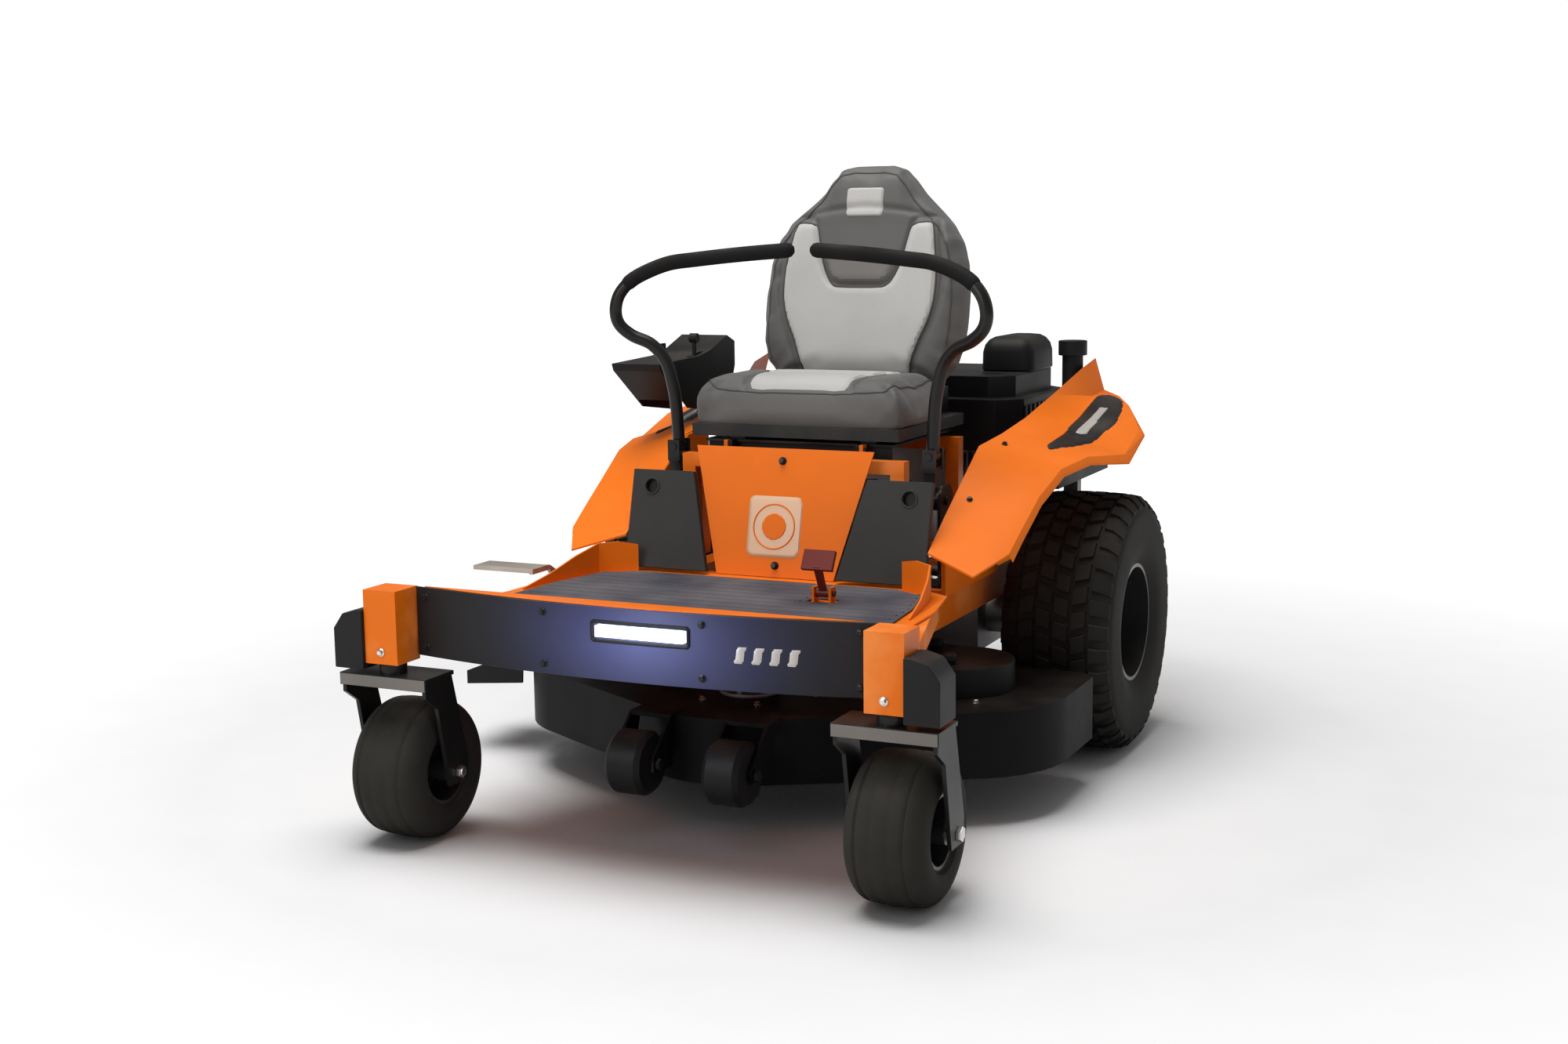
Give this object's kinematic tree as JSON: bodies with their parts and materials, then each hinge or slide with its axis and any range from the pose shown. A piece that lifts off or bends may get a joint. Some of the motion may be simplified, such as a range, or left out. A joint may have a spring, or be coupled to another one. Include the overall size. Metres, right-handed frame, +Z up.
{
  "type": "zero turn mower",
  "caption": "Ride-on zero turn lawn mower with two steering levers, high-back seat, rear engine, front casters and a side-discharge cutting deck.",
  "frame": {"origin": "on the ground, at the middle of the machine, from the folded-down chute to the left tyre and from the casters to the hitch", "axes": "+X to the operator's left, -Y forward, +Z up"},
  "size_m": [1.391, 1.887, 1.2852],
  "materials": {
    "frame_paint": "gloss powder coat",
    "orange_plastic": "satin moulded",
    "black_plastic": "fine moulded texture",
    "grey_plastic": "fine moulded texture",
    "black_paint": "satin powder coat",
    "deck_paint": "satin powder coat",
    "rim_paint": "satin",
    "lens": "lit lens",
    "rubber_mat": "matte",
    "tyre_rubber": "matte",
    "belt_rubber": "matte",
    "bronze": "machined",
    "cast_metal": "rough cast",
    "exhaust_steel": "heat tinted",
    "bright_steel": "zinc plated",
    "blade_steel": "oiled",
    "steel_plate": "grey paint",
    "vinyl": "grained vinyl"
  },
  "bodies": {
    "chassis": {"main_frame": "frame_paint", "kingpin_bushes": "bronze", "front_panel": "black_plastic", "headlight": "lens", "floor_pan": "frame_paint", "floor_mat": "rubber_mat", "foot_pads": "grey_plastic", "center_panel": "frame_paint", "fender_left": "orange_plastic", "fender_right": "orange_plastic", "control_console": "black_plastic", "lever_brackets": "black_paint", "fuel_tank": "black_plastic", "engine_block": "cast_metal", "engine_shroud": "black_plastic", "air_filter_cover": "black_plastic", "muffler": "exhaust_steel", "battery": "black_plastic", "transaxles": "cast_metal", "drive_belt": "belt_rubber", "rear_guard": "black_paint"},
    "caster_left": {"caster_fork_left": "black_paint", "caster_axle_left": "bright_steel"},
    "caster_wheel_left": {"caster_tyre_left": "tyre_rubber", "caster_rim_left": "rim_paint"},
    "rear_wheel_left": {"rear_tyre_left": "tyre_rubber", "rear_rim_left": "rim_paint", "rear_hub_left": "bright_steel"},
    "lever_pivot_left": {"lever_base_left": "black_paint"},
    "lever_left": {"lever_tube_left": "black_paint"},
    "caster_right": {"caster_fork_right": "black_paint", "caster_axle_right": "bright_steel"},
    "caster_wheel_right": {"caster_tyre_right": "tyre_rubber", "caster_rim_right": "rim_paint"},
    "rear_wheel_right": {"rear_tyre_right": "tyre_rubber", "rear_rim_right": "rim_paint", "rear_hub_right": "bright_steel"},
    "lever_pivot_right": {"lever_base_right": "black_paint"},
    "lever_right": {"lever_tube_right": "black_paint"},
    "seat_tilt_plate": {"seat_plate": "black_paint"},
    "seat": {"seat_pan": "black_paint", "seat_cushion": "vinyl", "seat_back": "vinyl"},
    "park_brake": {"brake_pedal": "black_paint"},
    "deck_lift": {"lift_pedal": "steel_plate"},
    "deck": {"deck_shell": "deck_paint", "belt_covers": "black_plastic", "spindle_housings": "cast_metal", "deck_idlers": "bright_steel", "deck_belt": "belt_rubber"},
    "spindle_left": {"blade_left": "blade_steel"},
    "spindle_center": {"blade_center": "blade_steel"},
    "spindle_right": {"blade_right": "blade_steel"},
    "roller_left": {"anti_scalp_wheel_left": "grey_plastic"},
    "roller_right": {"anti_scalp_wheel_right": "grey_plastic"},
    "chute": {"discharge_chute": "black_plastic"},
    "throttle": {"throttle_lever": "black_plastic"},
    "key": {"ignition_key": "black_plastic"},
    "tank_cap": {"fuel_cap": "black_plastic"},
    "crank": {"engine_pulley": "bright_steel"}
  },
  "joints": [
    {"name": "caster_swivel_left", "type": "hinge", "parent": "chassis", "child": "caster_left", "pos_m": [0.5825, -0.8735, 0.4], "axis": [0, 0, 1], "continuous": true},
    {"name": "caster_roll_left", "type": "hinge", "parent": "caster_left", "child": "caster_wheel_left", "pos_m": [0.5825, -0.8085, 0.135], "axis": [1, 0, 0], "continuous": true},
    {"name": "rear_wheel_spin_left", "type": "hinge", "parent": "chassis", "child": "rear_wheel_left", "pos_m": [0.5725, 0.3315, 0.284], "axis": [1, 0, 0], "continuous": true},
    {"name": "lever_drive_left", "type": "hinge", "parent": "chassis", "child": "lever_pivot_left", "pos_m": [0.3695, -0.1085, 0.6], "axis": [1, 0, 0], "range_deg": [-15, 15], "stiffness_Nm_per_rad": 60},
    {"name": "lever_swing_left", "type": "hinge", "parent": "lever_pivot_left", "child": "lever_left", "pos_m": [0.3695, -0.1085, 0.69], "axis": [0, 1, 0], "range_deg": [0, 35]},
    {"name": "caster_swivel_right", "type": "hinge", "parent": "chassis", "child": "caster_right", "pos_m": [-0.4275, -0.8735, 0.4], "axis": [0, 0, 1], "continuous": true},
    {"name": "caster_roll_right", "type": "hinge", "parent": "caster_right", "child": "caster_wheel_right", "pos_m": [-0.4275, -0.8085, 0.135], "axis": [1, 0, 0], "continuous": true},
    {"name": "rear_wheel_spin_right", "type": "hinge", "parent": "chassis", "child": "rear_wheel_right", "pos_m": [-0.4175, 0.3315, 0.284], "axis": [1, 0, 0], "continuous": true},
    {"name": "lever_drive_right", "type": "hinge", "parent": "chassis", "child": "lever_pivot_right", "pos_m": [-0.2145, -0.1085, 0.6], "axis": [1, 0, 0], "range_deg": [-15, 15], "stiffness_Nm_per_rad": 60},
    {"name": "lever_swing_right", "type": "hinge", "parent": "lever_pivot_right", "child": "lever_right", "pos_m": [-0.2145, -0.1085, 0.69], "axis": [0, -1, 0], "range_deg": [0, 35]},
    {"name": "seat_tilt", "type": "hinge", "parent": "chassis", "child": "seat_tilt_plate", "pos_m": [0.0775, -0.1485, 0.7], "axis": [1, 0, 0], "range_deg": [0, 25]},
    {"name": "seat_slide", "type": "slide", "parent": "seat_tilt_plate", "child": "seat", "axis": [0, 1, 0], "range_m": [-0.06, 0.06]},
    {"name": "brake_press", "type": "hinge", "parent": "chassis", "child": "park_brake", "pos_m": [0.2775, -0.4585, 0.462], "axis": [1, 0, 0], "range_deg": [0, 22]},
    {"name": "deck_lift_turn", "type": "hinge", "parent": "chassis", "child": "deck_lift", "pos_m": [0.0775, -0.2885, 0.38], "axis": [1, 0, 0], "range_deg": [-35, 8]},
    {"name": "deck_height", "type": "slide", "parent": "chassis", "child": "deck", "axis": [0, 0, 1], "range_m": [-0.0552, 0.0128]},
    {"name": "blade_spin_left", "type": "hinge", "parent": "deck", "child": "spindle_left", "pos_m": [0.4495, -0.1685, 0.24], "axis": [0, 0, 1], "continuous": true},
    {"name": "blade_spin_center", "type": "hinge", "parent": "deck", "child": "spindle_center", "pos_m": [0.0775, -0.3735, 0.24], "axis": [0, 0, 1], "continuous": true},
    {"name": "blade_spin_right", "type": "hinge", "parent": "deck", "child": "spindle_right", "pos_m": [-0.2945, -0.1685, 0.24], "axis": [0, 0, 1], "continuous": true},
    {"name": "engine_spin", "type": "hinge", "parent": "chassis", "child": "crank", "pos_m": [0.0775, 0.5815, 0.36], "axis": [0, 0, 1], "continuous": true},
    {"name": "roller_spin_left", "type": "hinge", "parent": "deck", "child": "roller_left", "pos_m": [0.1805, -0.6685, 0.15], "axis": [1, 0, 0], "continuous": true},
    {"name": "roller_spin_right", "type": "hinge", "parent": "deck", "child": "roller_right", "pos_m": [-0.0255, -0.6685, 0.15], "axis": [1, 0, 0], "continuous": true},
    {"name": "chute_fold", "type": "hinge", "parent": "deck", "child": "chute", "pos_m": [-0.5305, -0.1285, 0.224], "axis": [0, 1, 0], "range_deg": [0, 75]},
    {"name": "throttle_move", "type": "hinge", "parent": "chassis", "child": "throttle", "pos_m": [-0.3225, 0.1795, 0.852], "axis": [1, 0, 0], "range_deg": [-20, 20]},
    {"name": "key_turn", "type": "hinge", "parent": "chassis", "child": "key", "pos_m": [-0.3845, 0.1415, 0.86], "axis": [0, 0, 1], "range_deg": [0, 90]},
    {"name": "cap_turn", "type": "hinge", "parent": "chassis", "child": "tank_cap", "pos_m": [0.4625, 0.5635, 0.87], "axis": [0, 0, 1], "range_deg": [0, 180]}
  ],
  "couplings": [
    {"joint": "deck_height", "follows": "deck_lift_turn", "m_per_rad": 0.09},
    {"joint": "blade_spin_left", "follows": "engine_spin", "ratio": 0.76923},
    {"joint": "blade_spin_center", "follows": "engine_spin", "ratio": 0.76923},
    {"joint": "blade_spin_right", "follows": "engine_spin", "ratio": 0.76923}
  ]
}
